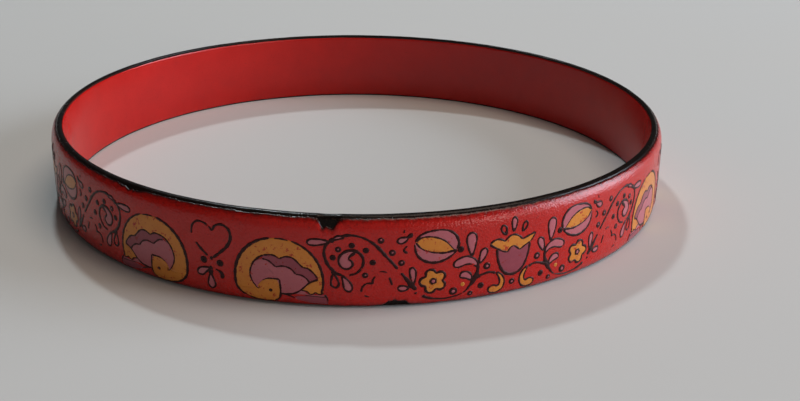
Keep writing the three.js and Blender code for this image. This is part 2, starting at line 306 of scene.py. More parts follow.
def glassy(name, light, dark, speck, cloud_mm, peel_mm, peel_deep, grain_deep, roughness, specks, ior,
           thins=False):
    """Fired glass enamel: two tones in soft clouds and fine specks, under orange peel, the shallow
    dimples that molten glass sets in. Where a coat thins, the black under it shows in grains, in
    the specks' colour."""
    material, tree = new_material(name)
    place = add_node(tree, "TexCoord").outputs["Object"]
    clouds = add_node(tree, "TexNoise", {
        "Vector": place, "Scale": 1 / (cloud_mm * MM), "Detail": 5.0, "Roughness": 0.6})
    tone = add_node(tree, "Mix", {0: clouds.outputs["Fac"], 6: linear(dark), 7: linear(light)},
                    data_type="RGBA")
    grains = add_node(tree, "TexNoise", {"Vector": place, "Scale": 1 / (0.2 * MM), "Detail": 1.5})
    speckled = add_node(tree, "MapRange", {
        "Value": grains.outputs["Fac"], "From Min": 0.62, "From Max": 0.72, "To Min": 0.0, "To Max": specks})
    colour = add_node(tree, "Mix", {0: speckled.outputs[0], 6: tone.outputs[2], 7: linear(speck)},
                      data_type="RGBA")
    if thins:
        thickness = add_node(tree, "Attribute", attribute_name="thickness", attribute_type="GEOMETRY")
        streaks = add_node(tree, "TexNoise", {
            "Vector": place, "Scale": 1 / (0.45 * MM), "Detail": 4.0, "Roughness": 0.7})
        gritty = add_node(tree, "Math", {0: streaks.outputs["Fac"], 1: 0.9, 2: thickness.outputs["Fac"]},
                          operation="MULTIPLY_ADD")
        black_shows = add_node(tree, "MapRange", {
            "Value": gritty.outputs[0], "From Min": 1.36, "From Max": 0.8, "To Min": 0.0, "To Max": 1.0})
        colour = add_node(tree, "Mix", {0: black_shows.outputs[0], 6: colour.outputs[2], 7: linear(speck)},
                          data_type="RGBA")
    peel = add_node(tree, "TexNoise", {"Vector": place, "Scale": 1 / (peel_mm * MM), "Detail": 2.0})
    wide = add_node(tree, "Bump", {
        "Height": peel.outputs["Fac"], "Distance": peel_deep * MM, "Strength": 1.0})
    fine = add_node(tree, "Bump", {
        "Height": grains.outputs["Fac"], "Distance": grain_deep * MM, "Strength": 1.0,
        "Normal": wide.outputs[0]})
    rough = add_node(tree, "MapRange", {
        "Value": clouds.outputs["Fac"], "To Min": roughness - 0.05, "To Max": roughness + 0.08})
    finish_material(tree, add_node(tree, "BsdfPrincipled", {
        "Base Color": colour.outputs[2], "Roughness": rough.outputs[0], "IOR": ior,
        "Normal": fine.outputs[0]}))
    return material


# Iron-bearing ground enamel: brown-black, as smooth as the red, with burnt specks.
black_enamel = glassy(
    "black ground enamel, kiln fired", "180f0b", "0a0605", speck="4a3428", cloud_mm=1.5, peel_mm=0.5,
    peel_deep=0.015, grain_deep=0.015, roughness=0.24, specks=0.3, ior=1.28)

# The section runs down the rim's inside face and over the lower rim, up the outside, over the upper
# rim and down its inside face, and then down the back of the coat, against the metal.
inner_edge = arc_points((RIM_INSIDE + INNER_ROUND, INNER_ROUND), INNER_ROUND, 180, 270, 8)
rim_r, rim_z = np.vstack([(RIM_INSIDE, RIM_DEEP), inner_edge]).T
rim_radius = np.tile(rim_r, (AROUND, 1))
outer_edge = OUTER_ROUND * (1 - np.cos(np.linspace(0, np.pi / 2, 9)))
wall_z = np.concatenate([
    outer_edge, OUTER_ROUND + (HEIGHT - 2 * OUTER_ROUND) * eased(40)[1:-1], HEIGHT - outer_edge[::-1]])
back_z = np.linspace(HEIGHT - RIM_DEEP, RIM_DEEP, 14)

# The upper rim dips by three sines round the band, and by a share of each knock.
slow, quick, quicker = RIM_UNEVEN
uneven = slow * np.sin(9 * ANGLES + 1) + quick * np.sin(31 * ANGLES) + quicker * np.sin(83 * ANGLES + 2)
dip = KNOCK_DOWN * knocked(ANGLES, HEIGHT) + RIM_DIP * (1 + uneven / sum(RIM_UNEVEN))
into_top = np.clip((wall_z - HEIGHT + OUTER_ROUND) / OUTER_ROUND, 0, 1)
ring_piece(
    "black_ground_coat",
    np.concatenate([rim_radius, ground_radius(ANGLES, wall_z) - knocked(ANGLES, wall_z), rim_radius[:, ::-1],
                    ground_radius(ANGLES, back_z) - GROUND_COAT], 1),
    np.concatenate([np.tile(rim_z, (AROUND, 1)), wall_z - dip * into_top, HEIGHT - rim_z[::-1] - dip,
                    np.tile(back_z, (AROUND, 1))], 1),
    black_enamel, "black_ground_enamel", ["ground_coat_outer"])
give_material("ground_coat_inner", black_enamel)

# ---- The red enamel: the cover coat outside, about 0.2 mm of opaque red glass, and the counter coat
# inside, which keeps the metal from warping in the kiln. Both thin out to ragged edges at the rims,
# and the cover coat is broken away at the knocks.
RED_THICK = 0.2
EDGE_THICK = 0.003  # least thickness, at an edge
RED_SUNK = 0.01  # how far a red coat's back lies in the wall
COVER_LOW, COVER_HIGH = 0.09, 0.22  # where the cover coat ends, up from the bottom and down from the top
COVER_THIN = 1.0  # width over which it thins towards a rim
COUNTER_RADIUS = 33.0
COUNTER_LOW, COUNTER_HIGH, COUNTER_THIN = 0.1, 0.26, 0.35
PAST_EDGE = 0.08  # the thinning would end this far outside an edge, which leaves the edge blunt
CHIP_LIP = 0.12  # width of the steep edge where glass has broken away
CHIP_BOWL = 1.6  # how much wider than its knock the bowl round a chip is
RED_LIGHT, RED_DARK = "c01a11", "a4110b"
GLASS_IOR = 1.43


def ragged(angle, seed, amount):
    """An uneven edge in mm: a sum of 18 sines round the band. The seed picks their rates and starts,
    and a sine of rate n weighs 1 / sqrt(n / 20)."""
    pick = np.random.default_rng(seed)
    rates, starts = pick.integers(20, 420, 18), pick.uniform(0, 2 * np.pi, 18)
    return amount * (np.sin(rates * angle + starts) / np.sqrt(rates / 20)).sum(1, keepdims=True)


def knocked_back(angle, top, spread=1.0):
    """How far the knocks at one rim push the red's edge back, in mm: a parabola for each, with a
    rough edge of three quick sines. The spread widens them all."""
    rough = 0.12 * np.sin(171 * angle) + 0.1 * np.sin(263 * angle + 1) + 0.08 * np.sin(397 * angle + 2)
    back = np.zeros_like(angle)
    for middle, height, half_angle, half_height, _ in KNOCKS:
        if (height > HEIGHT / 2) == top:
            along = ((np.degrees(angle) - middle + 180) % 360 - 180) / (half_angle * spread)
            back = np.maximum(back, half_height * (1 + rough) * np.clip(1 - along ** 2, 0, None))
    return back


def thinning(z, low, high, width):
    """Share of a coat's full thickness: it rises as sqrt(t (2 - t)) from a low and a high edge."""
    t = np.clip(np.minimum(z - low, HEIGHT - high - z), 0, width) / width
    return np.sqrt(t * (2 - t))


def red_coat(name, slot, node, material, wall, outward, ends, width, ragged_by, knocks=(0.0, 0.0),
             bowls=(0.0, 0.0)):
    """A ring of red glass. Its section runs up its face and down its back, in the wall. The face
    stands off by its thickness, which thins towards the rims and breaks off at ragged edges,
    steeply or, at a knock, in a wider bowl. Returns the piece and its share of full thickness."""
    low_edge = ends[0] + ragged(ANGLES, 1, ragged_by) + knocks[0]
    high_edge = HEIGHT - ends[1] - ragged(ANGLES, 2, ragged_by) - knocks[1]
    z = low_edge + (high_edge - low_edge) * eased(60)[None, :]
    from_edge = np.minimum((z - low_edge) / (CHIP_LIP + bowls[0]), (high_edge - z) / (CHIP_LIP + bowls[1]))
    lip = np.clip(from_edge, 0, 1)
    share = thinning(z, ends[0] - PAST_EDGE, ends[1] - PAST_EDGE, width) * np.sqrt(lip * (2 - lip))
    back_z = z[:, ::-3]
    face = wall(z) + outward * (EDGE_THICK + RED_THICK * share)
    radius = np.concatenate([face, wall(back_z) - outward * RED_SUNK], 1)
    coat = ring_piece(name, radius, np.concatenate([z, back_z], 1), material, slot, [node])
    return coat, np.concatenate([share, share[:, ::-3]], 1)


# Opaque red glass. Its share of thickness is kept at every point, for the black that shows through.
cover_coat, cover_share = red_coat(
    "red_cover_coat", "red_cover_enamel", "cover_enamel",
    glassy("red cover enamel, kiln fired", RED_LIGHT, RED_DARK, speck="2c0604", cloud_mm=2.2, peel_mm=0.7,
           peel_deep=0.025, grain_deep=0.045, roughness=0.22, specks=0.3, ior=GLASS_IOR, thins=True),
    lambda z: ground_radius(ANGLES, z), outward=1, ends=(COVER_LOW, COVER_HIGH), width=COVER_THIN,
    ragged_by=0.014,
    knocks=[knocked_back(ANGLES, top) for top in (False, True)],
    bowls=[knocked_back(ANGLES, top, CHIP_BOWL) for top in (False, True)])
thickness = cover_coat.data.attributes.new("thickness", "FLOAT", "POINT")
thickness.data.foreach_set("value", cover_share.astype(np.float32).ravel())

# The same glass inside, set smoother and less handled.
red_coat(
    "red_counter_coat", "red_counter_enamel", "counter_enamel",
    glassy("red counter enamel, kiln fired", "bf1710", "a40f0b", speck="5a0d08", cloud_mm=3.0, peel_mm=0.9,
           peel_deep=0.012, grain_deep=0.012, roughness=0.22, specks=0.2, ior=GLASS_IOR),
    lambda z: COUNTER_RADIUS + RED_THICK - waves(ANGLES, z), outward=-1, ends=(COUNTER_LOW, COUNTER_HIGH),
    width=COUNTER_THIN, ragged_by=0.01)

# ---- Hearts, the first of the transfers: colours and line were printed on film, laid on the fired red
# and fired again, so they stand up from the glass by a few hundredths of a millimetre. A heart is a
# plain drawn line, with two dots and a small three-leaved sprig hanging under it.
UNROLL = 34.0  # radius at which the flat drawing's millimetres are true
FILL_TOP, LINE_TOP = 0.022, 0.040  # how far fills and lines stand up
SUNK = 0.02  # how far their undersides lie in the glass
BEAD_TOP = 0.052  # how far a spot of colour on the line stands up
SOFT_EDGE = 0.06  # how far in from its outline a print reaches its full height
LINE = 0.27  # usual width of the line
FIRST_HEART, HEART_TO_TULIP, FULL_REPEATS = -118.2, 47.5, 3  # degrees, and how many repeats are whole
HEARTS = [FIRST_HEART + i * 2 * HEART_TO_TULIP for i in range(FULL_REPEATS + 1)]


def cover_face(angle, z):
    """Outside of the red enamel, apart from its chips."""
    share = thinning(z, COVER_LOW - PAST_EDGE, COVER_HIGH - PAST_EDGE, COVER_THIN)
    return ground_radius(angle, z) + RED_THICK * share


def smooth_line(points, spacing=0.09, closed=False):
    """A Catmull-Rom curve through given points, taken again at an even spacing along it."""
    p = np.array(points, float)
    p = np.vstack([p[-1:], p, p[:2]] if closed else [2 * p[:1] - p[1:2], p, 2 * p[-1:] - p[-2:-1]])
    a, b, c, d = (p[k:len(p) - 3 + k, None] for k in range(4))
    t = np.linspace(0, 1, 12)[None, :, None]
    square, cube = (2 * a - 5 * b + 4 * c - d) * t ** 2, (3 * b - a - 3 * c + d) * t ** 3
    curve = 0.5 * (2 * b + (c - a) * t + square + cube).reshape(-1, 2)
    along = np.concatenate([[0], np.cumsum(np.linalg.norm(np.diff(curve, axis=0), axis=1))])
    stops = np.linspace(0, along[-1], max(6, round(along[-1] / spacing)) + 1)
    if closed:
        stops = stops[:-1]
    return np.stack([np.interp(stops, along, curve[:, k]) for k in (0, 1)], -1)


def ribbon(left, right, top, across=2, closed=False):
    """A thin pad between two edges of equal length. Its section climbs from each edge to its full
    height within SOFT_EDGE, and its underside lies SUNK in the enamel. Open ends are capped."""
    width = np.linalg.norm(right - left, axis=1)[:, None]
    inset = np.minimum(SOFT_EDGE / np.maximum(width, 1e-6), 0.3)
    share = np.concatenate([0 * inset, inset + (1 - 2 * inset) * np.linspace(0, 1, across), 1 + 0 * inset,
                            0.8 + 0 * inset, 0.2 + 0 * inset], 1)
    rise = np.array([0] + [top] * across + [0, -SUNK, -SUNK])
    flat = left[:, None] + (right - left)[:, None] * share[:, :, None]
    points = np.concatenate([flat, np.broadcast_to(rise[None, :, None], (*share.shape, 1))], -1)
    rows, columns = share.shape
    faces = [wrapped_quads(rows, columns, wrap_rows=closed)]
    if not closed:
        ends = np.arange(columns)
        faces.append(np.stack([ends[::-1], ends + (rows - 1) * columns]))
    return points.reshape(-1, 3), faces


def pad(outline, top):
    """A thin pad inside a closed outline: rings drawn in towards its middle, over and under."""
    n, middle = len(outline), outline.mean(0)
    soft = min(SOFT_EDGE / np.linalg.norm(outline - middle, axis=1).mean(), 0.4)
    rings = [(0.75, -SUNK), (1, 0)] + [((1 - soft) * reach, top) for reach in (1, 0.66, 0.33)]
    points = [np.column_stack([middle + (outline - middle) * s, np.full(n, h)]) for s, h in rings]
    points = np.vstack(points + [[(*middle, -SUNK), (*middle, top)]])
    i = np.arange(n)
    next_i = (i + 1) % n
    under, over = len(rings) * n, len(rings) * n + 1
    last = (len(rings) - 1) * n
    fans = np.concatenate([np.stack([i, next_i, np.full(n, under)], -1),
                           np.stack([next_i + last, i + last, np.full(n, over)], -1)])
    return points, [wrapped_quads(len(rings), n, wrap_rows=False)[:, ::-1], fans]


def stroke(points, widths=LINE, closed=False, top=LINE_TOP):
    """A drawn line: a ribbon about a smooth path. Its width follows the given widths, wavers by two
    sines, one lap in 0.8 mm and three, and falls off as a half circle at open ends."""
    path = smooth_line(points, closed=closed)
    ahead = np.roll(path, -1, 0) - np.roll(path, 1, 0) if closed else np.gradient(path, axis=0)
    side = np.column_stack([-ahead[:, 1], ahead[:, 0]]) / np.linalg.norm(ahead, axis=1)[:, None]
    share = np.linspace(0, 1, len(path))
    widths = np.atleast_1d(widths)
    half = np.interp(share, np.linspace(0, 1, len(widths)), widths) / 2
    length = np.linalg.norm(np.diff(path, axis=0), axis=1).sum()
    along, start = share * length, 7 * path[0, 0] + 11 * path[0, 1]
    laps = max(1, round(length / 0.8)) / length
    half = half * (1 + 0.13 * np.sin(2 * np.pi * laps * along + start)
                   + 0.09 * np.sin(2 * np.pi * 3 * laps * along + 2 * start))
    if not closed:
        from_end = np.minimum(along, length - along) / np.maximum(half, 1e-3)
        half = half * np.sqrt(np.clip(1 - (1 - np.clip(from_end, 0, 1)) ** 2, 0.08, 1))
    return ribbon(path + side * half[:, None], path - side * half[:, None], top, closed=closed)


def round_outline(u, v, radius, lobes=0, depth=0.0, turned=0.0, flat=1.0):
    """A circle's outline, which may have round lobes with sharp notches between them: its radius is
    r (1 - d (1 - |cos(n (t - t0) / 2)|))."""
    count = 60 if lobes else 12
    t = np.arange(count) * 2 * np.pi / count
    reach = radius * (1 - depth * (1 - np.abs(np.cos(lobes / 2 * (t - turned)))))
    return np.column_stack([u + reach * np.cos(t), v + flat * reach * np.sin(t)])


def dot(u, v, radius, top=LINE_TOP):
    """A small round dot of ink."""
    return pad(round_outline(u, v, radius), top)


def leaf(points, widths):
    """A leaf or drop: its two edges stand off a smooth spine by the half widths. Returns the fill
    and the black line round it."""
    spine = smooth_line(points, spacing=0.12)
    ahead = np.gradient(spine, axis=0)
    side = np.column_stack([-ahead[:, 1], ahead[:, 0]]) / np.linalg.norm(ahead, axis=1)[:, None]
    share = np.linspace(0, 1, len(spine))
    half = np.interp(share, np.linspace(0, 1, len(widths)), widths) / 2
    along = share * np.linalg.norm(np.diff(spine, axis=0), axis=1).sum()
    from_end = np.minimum(along, along[-1] - along) / np.maximum(half, 1e-3)
    half = (half * np.sqrt(np.clip(1 - (1 - np.clip(from_end, 0, 1)) ** 2, 0.02, 1)))[:, None]
    left, right = spine + side * half, spine - side * half
    outline = np.vstack([left, right[::-1]])
    return ribbon(left, right, FILL_TOP, across=4), stroke(outline[::2], LINE * 0.85, closed=True)


def fills(leaves):
    """The fills of some leaves."""
    return [fill for fill, _ in leaves]


def outlines(leaves):
    """The black lines round some leaves."""
    return [line for _, line in leaves]


def lay(name, shapes, colour, axis, side=1, replaces=()):
    """Wraps flat shapes round the band as one piece: the angle is the motif's axis plus u over the
    unrolling radius, mirrored where side is -1, and the radius is the enamel's plus the rise. A colour
    is a material and its slot; the slot is not used."""
    start = np.cumsum([0] + [len(points) for points, _ in shapes])
    flat = np.vstack([points for points, _ in shapes])
    faces = [face + first for (_, parts), first in zip(shapes, start) for face in parts]
    angle = math.radians(axis) + side * flat[:, 0] / UNROLL
    radius = cover_face(angle, flat[:, 1]) + flat[:, 2]
    make_piece(name, ring_points(angle, radius, flat[:, 1]), faces, *colour, replaces)


def ink(name, slot, light, dark, cloud_mm, worn, worn_mm, roughness, shows=RED_LIGHT, ior=GLASS_IOR):
    """Fired printing colour: two tones with a fine grain, worn through to the red in specks and
    patches where a second noise runs high. Returns the material and its slot."""
    material, tree = new_material(name)
    place = add_node(tree, "TexCoord").outputs["Object"]
    clouds = add_node(tree, "TexNoise", {
        "Vector": place, "Scale": 1 / (cloud_mm * MM), "Detail": 6.0, "Roughness": 0.7})
    tone = add_node(tree, "Mix", {0: clouds.outputs["Fac"], 6: linear(dark), 7: linear(light)},
                    data_type="RGBA")
    patches = add_node(tree, "TexNoise", {
        "Vector": place, "Scale": 1 / (worn_mm * MM), "Detail": 5.0, "Roughness": 0.75})
    wear = add_node(tree, "MapRange", {
        "Value": patches.outputs["Fac"], "From Min": worn, "From Max": worn + 0.05}, clamp=True)
    colour = add_node(tree, "Mix", {0: wear.outputs[0], 6: tone.outputs[2], 7: linear(shows)},
                      data_type="RGBA")
    bump = add_node(tree, "Bump", {"Height": clouds.outputs["Fac"], "Distance": 0.012 * MM, "Strength": 1.0})
    finish_material(tree, add_node(tree, "BsdfPrincipled", {
        "Base Color": colour.outputs[2], "Roughness": roughness, "IOR": ior, "Normal": bump.outputs[0]}))
    return material, slot


# The line is a brown-black that shines less. The mauve is grained, and worn through to the red in specks.
black_ink = ink(
    "black line, fired on", "black_transfer", "380b0a", "180405", cloud_mm=0.5, worn=0.64, worn_mm=1.1,
    roughness=0.34, ior=1.3)
mauve_ink = ink(
    "mauve colour, fired on", "mauve_transfer", "bc6a70", "a24e5b", cloud_mm=0.5, worn=0.60, worn_mm=0.5,
    roughness=0.28, shows="a8200f")

heart_line = [
    stroke([(-1.84, 5.9), (-1.72, 6.7), (-1.2, 7.2), (-0.5, 7.15), (0.0, 6.85), (0.3, 6.5)], 0.22),
    stroke([(0.3, 6.5), (0.65, 7.05), (1.3, 7.25), (1.95, 6.9), (2.14, 6.1), (1.75, 5.2), (0.95, 4.4),
            (0.3, 3.85)], [0.24, 0.26, 0.3, 0.34, 0.3, 0.26]),
    stroke([(-1.4, 5.1), (-0.95, 4.6), (-0.22, 3.96)], [0.24, 0.3, 0.22]),
    stroke([(0.1, 3.95), (0.2, 3.6)], 0.34),
    dot(-0.65, 3.5, 0.36), dot(1.0, 3.42, 0.36),
    stroke([(0.05, 3.0), (0.02, 2.5), (0.0, 2.05)], [0.34, 0.6, 0.4]),
    stroke([(0.55, 2.75), (1.0, 2.55), (1.2, 2.25), (1.12, 1.9)], [0.18, 0.25, 0.46, 0.34]),
]
heart_drops = [leaf([(-0.1, 2.75), (-0.7, 2.45), (-1.3, 2.05)], [0.1, 0.45, 0.7, 0.5]),
               leaf([(0.02, 2.2), (0.05, 1.5), (0.08, 0.75)], [0.1, 0.5, 0.75, 0.5])]
for number, axis in enumerate(HEARTS, 1):
    lay(f"heart_{number}_line", heart_line + outlines(heart_drops), black_ink, axis,
        replaces=[f"heart_{number}"])
    lay(f"heart_{number}_drops", fills(heart_drops), mauve_ink, axis)

# ---- Curled birds: one on each side of a heart. An ochre back runs round in a ring to the tucked head,
# with a mauve wing inside it, plum feathers along the wing, and a scalloped tail. All is printed and
# fired like the hearts, with the ochre clearer and more specked, and the plum the darkest.
SIDES = (("left", -1), ("right", 1))
HEART_TO_BIRD = 11.0  # degrees
BIRD_MIDDLE, BIRD_RADIUS = 2.58, 4.05  # of the ring that its back follows
UPPER_FILL, TOP_FILL = 0.026, 0.028  # how far a fill stands up that lies over one other, or over two
ochre_ink = ink(
    "ochre colour, fired on", "ochre_transfer", "d68d34", "bd671c", cloud_mm=0.9, worn=0.565, worn_mm=0.55,
    roughness=0.28, shows="a8200f")
plum_ink = ink(
    "plum colour, fired on", "plum_transfer", "9a4652", "7e3240", cloud_mm=0.4, worn=0.60, worn_mm=0.5,
    roughness=0.28, shows="8c1510")


def bird_ring(radius, start, end, count):
    """Points on a circle about the bird's middle, between two angles in degrees."""
    t = np.radians(np.linspace(start, end, count))
    return np.column_stack([radius * np.cos(t), BIRD_MIDDLE + radius * np.sin(t)])


feather_tops = [
    [(-1.31, 4.85), (-0.47, 4.95), (0.15, 4.65)],
    [(0.15, 4.65), (0.75, 4.9), (1.4, 4.78), (2.1, 4.1), (2.3, 3.95)],
    [(2.3, 3.95), (2.75, 3.85), (3.3, 3.35), (3.6, 2.85)],
]
feather_steps = [
    [(-1.44, 4.5), (-0.85, 4.35), (-0.2, 3.82)],
    [(-0.2, 3.82), (0.5, 3.95), (1.16, 3.75), (1.62, 3.24)],
    [(1.62, 3.24), (2.14, 3.17), (2.6, 2.85), (2.85, 2.5)],
]
breast = [(-1.9, 1.5), (-2.4, 2.15), (-2.62, 3.0), (-2.3, 4.0), (-1.75, 4.6), (-1.31, 4.85)]
crown_line = [(-3.85, 1.35), (-3.2, 0.74), (-2.3, 0.38), (-1.3, 0.26), (-0.4, 0.34), (0.06, 0.72),
              (0.2, 1.45), (0.12, 2.6)]
brow = [(-1.9, 1.5), (-1.8, 1.95), (-1.45, 2.35), (-0.9, 2.6), (0.12, 2.62)]
wing_under = [(0.3, 1.2), (0.84, 1.2), (1.5, 1.35), (2.1, 1.75), (2.85, 2.5)]
scallops = [
    [(2.1, 1.68), (2.6, 1.6), (2.9, 1.28)],
    [(2.9, 1.28), (3.15, 1.38), (3.37, 1.56)],
    [(3.37, 1.56), (3.6, 1.4), (3.8, 1.38), (4.1, 1.55)],
]
band_over = [(1.4, 1.0), (2.4, 1.15), (3.4, 1.15), (4.35, 1.05)]
band_under = [(1.7, 0.7), (2.6, 0.45), (3.5, 0.36), (4.5, 0.34)]
strip_over = [(0.8, 1.3), (1.6, 1.6), (2.2, 1.66), (2.7, 1.35), (3.3, 1.28), (4.15, 1.3)]
strip_under = [(0.8, 1.16), (1.6, 1.25), (2.4, 1.22), (3.2, 1.14), (4.2, 1.08)]


def joined(lines):
    """Lines that meet end to end as one path, with their corners kept."""
    return np.vstack([smooth_line(line) for line in lines])


def evenly(path, count):
    """A path taken again at a number of even steps."""
    along = np.concatenate([[0], np.cumsum(np.linalg.norm(np.diff(path, axis=0), axis=1))])
    stops = np.linspace(0, along[-1], count)
    return np.stack([np.interp(stops, along, path[:, k]) for k in (0, 1)], -1)


def between(one, other, top=FILL_TOP, across=6, spacing=0.12):
    """A fill between two edges, each a list of lines, taken at the same number of even steps."""
    one, other = joined(one), joined(other)
    length = max(np.linalg.norm(np.diff(edge, axis=0), axis=1).sum() for edge in (one, other))
    count = int(length / spacing) + 4
    return ribbon(evenly(one, count), evenly(other, count), top, across)


back = bird_ring(BIRD_RADIUS, -12, 198, 15)
bird_body = [
    between([back], [line[::-1] for line in feather_tops[::-1]] + [breast[::-1]]),
    between([crown_line], [brow]),
    between([[(3.95, 2.2), (3.72, 2.72), (2.95, 2.45), (2.15, 1.82)]],
            [line[::-1] for line in scallops[::-1]]),
]
wing_over = [breast[:4] + [(-1.8, 4.4)]] + feather_steps
cheek = [(0.12, 2.62), (0.2, 2.0), (0.3, 1.2)]
bird_wing = [
    between(wing_over, [brow, cheek, wing_under], UPPER_FILL),
    between([strip_over], [strip_under], across=3),
]
bird_plume = [between(feather_tops, feather_steps, TOP_FILL), between([band_over], [band_under])]
bird_line = [
    stroke(bird_ring(BIRD_RADIUS, -16, 72, 8), [0.24, 0.3, 0.28, 0.2]),
    stroke(bird_ring(BIRD_RADIUS - 0.05, 76, 94, 3), [0.12, 0.2, 0.12]),
    stroke(np.vstack([bird_ring(BIRD_RADIUS, 100, 196, 8), crown_line[1:5]]),
           [0.24, 0.34, 0.36, 0.3, 0.24, 0.18]),
    stroke(crown_line[4:], [0.2, 0.24, 0.26, 0.28]),
    stroke(brow[2:], [0.12, 0.24, 0.26]),
    stroke([(-1.75, 1.75)] + breast, [0.12, 0.22, 0.24, 0.26]),
    stroke(wing_under + [(3.6, 2.85)], [0.28, 0.24, 0.22, 0.26]),
    stroke(strip_under[2:], [0.08, 0.12, 0.1]),
    stroke([(0.5, 1.12), (1.1, 1.0), (1.5, 0.8)], [0.1, 0.16, 0.08]),
    stroke([(4.2, 1.35), (4.42, 0.95), (4.5, 0.6)], [0.24, 0.16, 0.1]),
    dot(-0.72, 1.43, 0.2),
]
bird_line += [stroke(line, 0.24) for line in feather_tops + feather_steps]
bird_line += [stroke(line, 0.18) for line in scallops]
for number, heart in enumerate(HEARTS, 1):
    for side_name, side in SIDES:
        axis, bird = heart + side * HEART_TO_BIRD, f"bird_{number}_{side_name}"
        lay(bird + "_body", bird_body, ochre_ink, axis, side, [f"bird_body_{number}_{side_name}"])
        lay(bird + "_wing", bird_wing, mauve_ink, axis, side, [f"bird_wing_{number}_{side_name}"])
        lay(bird + "_plume", bird_plume, plum_ink, axis, side)
        lay(bird + "_line", bird_line, black_ink, axis, side)

# ---- Scrolls: beyond each bird a black spiral with a mauve heart, in a wreath of dots, with two drops
# hanging from its stem and two lying over it. Pair N stands between heart N and the next.
HEART_TO_SCROLL = 21.5  # degrees
spiral_fill = between(
    [[(0.5, 5.66), (0.0, 5.68), (-0.58, 5.25), (-0.76, 4.7), (-0.48, 4.15), (0.0, 4.03), (0.36, 4.35)]],
    [[(0.52, 5.56), (0.2, 5.32), (0.02, 5.0), (0.02, 4.88), (0.08, 4.82), (0.2, 4.76), (0.34, 4.6)]],
    across=4)
hanging = [leaf([(-1.25, 3.45), (-1.17, 2.8), (-1.07, 2.1)], [0.1, 0.5, 0.72, 0.6]),
           leaf([(-0.45, 3.2), (-0.12, 2.6), (0.18, 1.75)], [0.1, 0.5, 0.74, 0.55]),
           leaf([(-1.75, 6.55), (-2.6, 6.5), (-3.55, 6.45)], [0.15, 0.5, 0.6, 0.45]),
           leaf([(-1.3, 6.8), (-0.85, 6.98), (-0.35, 7.05)], [0.12, 0.3, 0.14])]
scroll_fill = [spiral_fill] + fills(hanging[1:])
scroll_line = [
    stroke([(0.12, 3.35), (0.83, 3.6), (1.32, 4.3), (1.32, 5.1), (0.8, 5.66), (0.05, 5.74), (-0.6, 5.32),
            (-0.8, 4.7), (-0.5, 4.1), (0.02, 3.98), (0.42, 4.3), (0.34, 4.72), (0.06, 4.9)],
           [0.2, 0.26, 0.28, 0.34, 0.3, 0.24, 0.26, 0.24]),
    stroke([(0.06, 4.9), (0.22, 5.25), (0.66, 5.56)], [0.22, 0.3, 0.4]),
    stroke([(-1.35, 3.75), (-1.2, 3.4)], [0.5, 0.35]),
    stroke([(-1.25, 3.55), (-0.7, 3.4), (-0.2, 3.2)], [0.4, 0.26, 0.16]),
    stroke([(-1.7, 6.6), (-1.4, 6.7), (-1.1, 6.75)], [0.26, 0.5, 0.2]),
] + outlines(hanging)
wreath = [(-1.31, 5.05), (-0.83, 5.85), (0.36, 6.25), (1.6, 5.78), (2.2, 4.6), (1.54, 3.35)]
scroll_line += [dot(u, v, 0.3) for u, v in wreath]
scroll_fill += [dot(u, v, 0.11, BEAD_TOP) for u, v in ((-0.83, 5.88), (1.57, 3.38))]
for number, heart in enumerate(HEARTS, 1):
    next_heart = HEARTS[number] if number <= FULL_REPEATS else FIRST_HEART + 360
    for (side_name, side), near in zip(SIDES, (heart, next_heart)):
        axis = near - side * HEART_TO_SCROLL
        lay(f"scroll_{number}_{side_name}_line", scroll_line, black_ink, axis, -side)
        lay(f"scroll_{number}_{side_name}_fill", scroll_fill, mauve_ink, axis, -side)

# ---- Stems and sprigs: on each side of a tulip stands a sprig of mauve leaves, and where a repeat is
# full a long vine runs from it under the fruit and up round the scroll. Both are printed like the rest.
SHORT_MIDDLE = (HEARTS[-1] + FIRST_HEART + 360) / 2  # of the short repeat that closes the round
TULIPS = [heart + HEART_TO_TULIP for heart in HEARTS[:FULL_REPEATS]] + [SHORT_MIDDLE]
stem_leaves = [
    leaf([(-3.6, 3.45), (-3.95, 3.95), (-4.7, 4.2), (-5.4, 4.0), (-5.85, 3.75)], [0.2, 0.5, 0.78, 0.8, 0.6]),
    leaf([(-4.2, 2.2), (-4.5, 2.65), (-4.95, 2.78), (-5.25, 2.62)], [0.2, 0.55, 0.66, 0.45]),
    leaf([(-4.2, 4.6), (-4.25, 5.7), (-4.27, 6.85)], [0.12, 0.62, 0.95, 0.8]),
    leaf([(-3.4, 3.75), (-3.15, 4.4), (-2.88, 5.15)], [0.12, 0.5, 0.66, 0.5]),
]
sprig_line = outlines(stem_leaves) + [
    stroke([(-4.3, 1.55), (-3.95, 2.1), (-3.6, 2.9), (-3.6, 3.7), (-3.8, 4.1)], [0.2, 0.6, 0.42, 0.32, 0.2]),
    stroke([(-3.95, 2.15), (-3.5, 2.4), (-2.5, 2.68), (-1.75, 2.5)], [0.5, 0.28, 0.24, 0.3]),
    stroke([(-4.2, 4.9), (-4.2, 4.55)], [0.2, 0.26]),
    stroke([(-3.45, 4.05), (-3.4, 3.7)], [0.36, 0.3]),
    stroke([(-4.2, 2.3), (-4.0, 2.5)], 0.3),
    stroke([(-4.9, 0.95), (-4.55, 1.25), (-4.1, 1.9)], [0.16, 0.24, 0.34]),
    dot(-2.67, 3.35, 0.38), dot(-3.2, 1.45, 0.33), dot(-4.21, 0.78, 0.28), dot(-5.87, 1.25, 0.42),
]
sprig_fill = fills(stem_leaves) + [
    dot(-2.67, 3.35, 0.17, BEAD_TOP), dot(-5.87, 1.25, 0.2, BEAD_TOP), dot(-4.21, 0.78, 0.09, BEAD_TOP)]
vine_leaves = [leaf([(-9.6, 2.35), (-9.62, 3.1), (-9.72, 3.95)], [0.1, 0.4, 0.56, 0.4]),
               leaf([(-10.05, 1.95), (-10.5, 1.95), (-10.95, 2.0)], [0.15, 0.46, 0.5, 0.4])]
